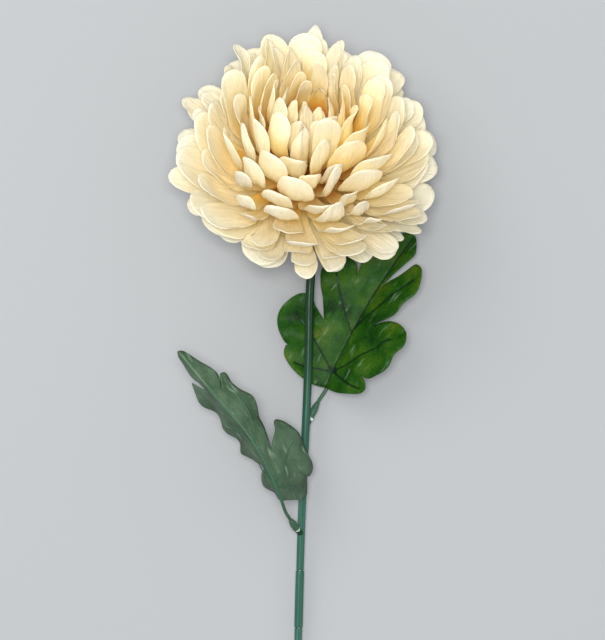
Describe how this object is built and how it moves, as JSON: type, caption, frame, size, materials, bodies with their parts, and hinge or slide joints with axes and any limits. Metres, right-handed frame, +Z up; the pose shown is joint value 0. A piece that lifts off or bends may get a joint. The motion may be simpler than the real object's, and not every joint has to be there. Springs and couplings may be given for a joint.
{
  "type": "artificial chrysanthemum stem",
  "caption": "Artificial ball chrysanthemum: layered cream fabric petals on a plastic stem with lobed leaves, lying on its back.",
  "frame": {"origin": "on the table under the middle of the flower's bounding box", "axes": "+Y up the stem to the bloom, +X to the flower's right, +Z up from the table; the bloom's axis leans from +Y up towards +Z"},
  "size_m": [0.1342, 0.3988, 0.111],
  "materials": {
    "petal_fabric": "thin cream polyester, orange-yellow towards the roots",
    "leaf_fabric": "waxed printed polyester, dark green above and grey-green below",
    "stem_plastic": "moulded polyethylene, lightly grooved",
    "core_plastic": "moulded polyethylene",
    "wire_steel": "drawn iron wire"
  },
  "bodies": {
    "root": {"calyx": "stem_plastic", "leaf_left_blade": "leaf_fabric", "leaf_left_rib": "stem_plastic", "leaf_right_blade": "leaf_fabric", "leaf_right_rib": "stem_plastic", "petal_layer_01": "petal_fabric", "petal_layer_02": "petal_fabric", "petal_layer_03": "petal_fabric", "petal_layer_04": "petal_fabric", "petal_layer_05": "petal_fabric", "petal_layer_06": "petal_fabric", "petal_layer_07": "petal_fabric", "petal_layer_08": "petal_fabric", "petal_layer_09": "petal_fabric", "petal_layer_10": "petal_fabric", "petal_layer_11": "petal_fabric", "petal_layer_12": "petal_fabric", "petal_layer_13": "petal_fabric", "petal_layer_14": "petal_fabric", "petal_layer_15": "petal_fabric", "receptacle": "core_plastic", "stem_collar": "stem_plastic", "stem_lower": "stem_plastic", "stem_upper": "stem_plastic", "stem_wire": "wire_steel"}
  },
  "joints": []
}
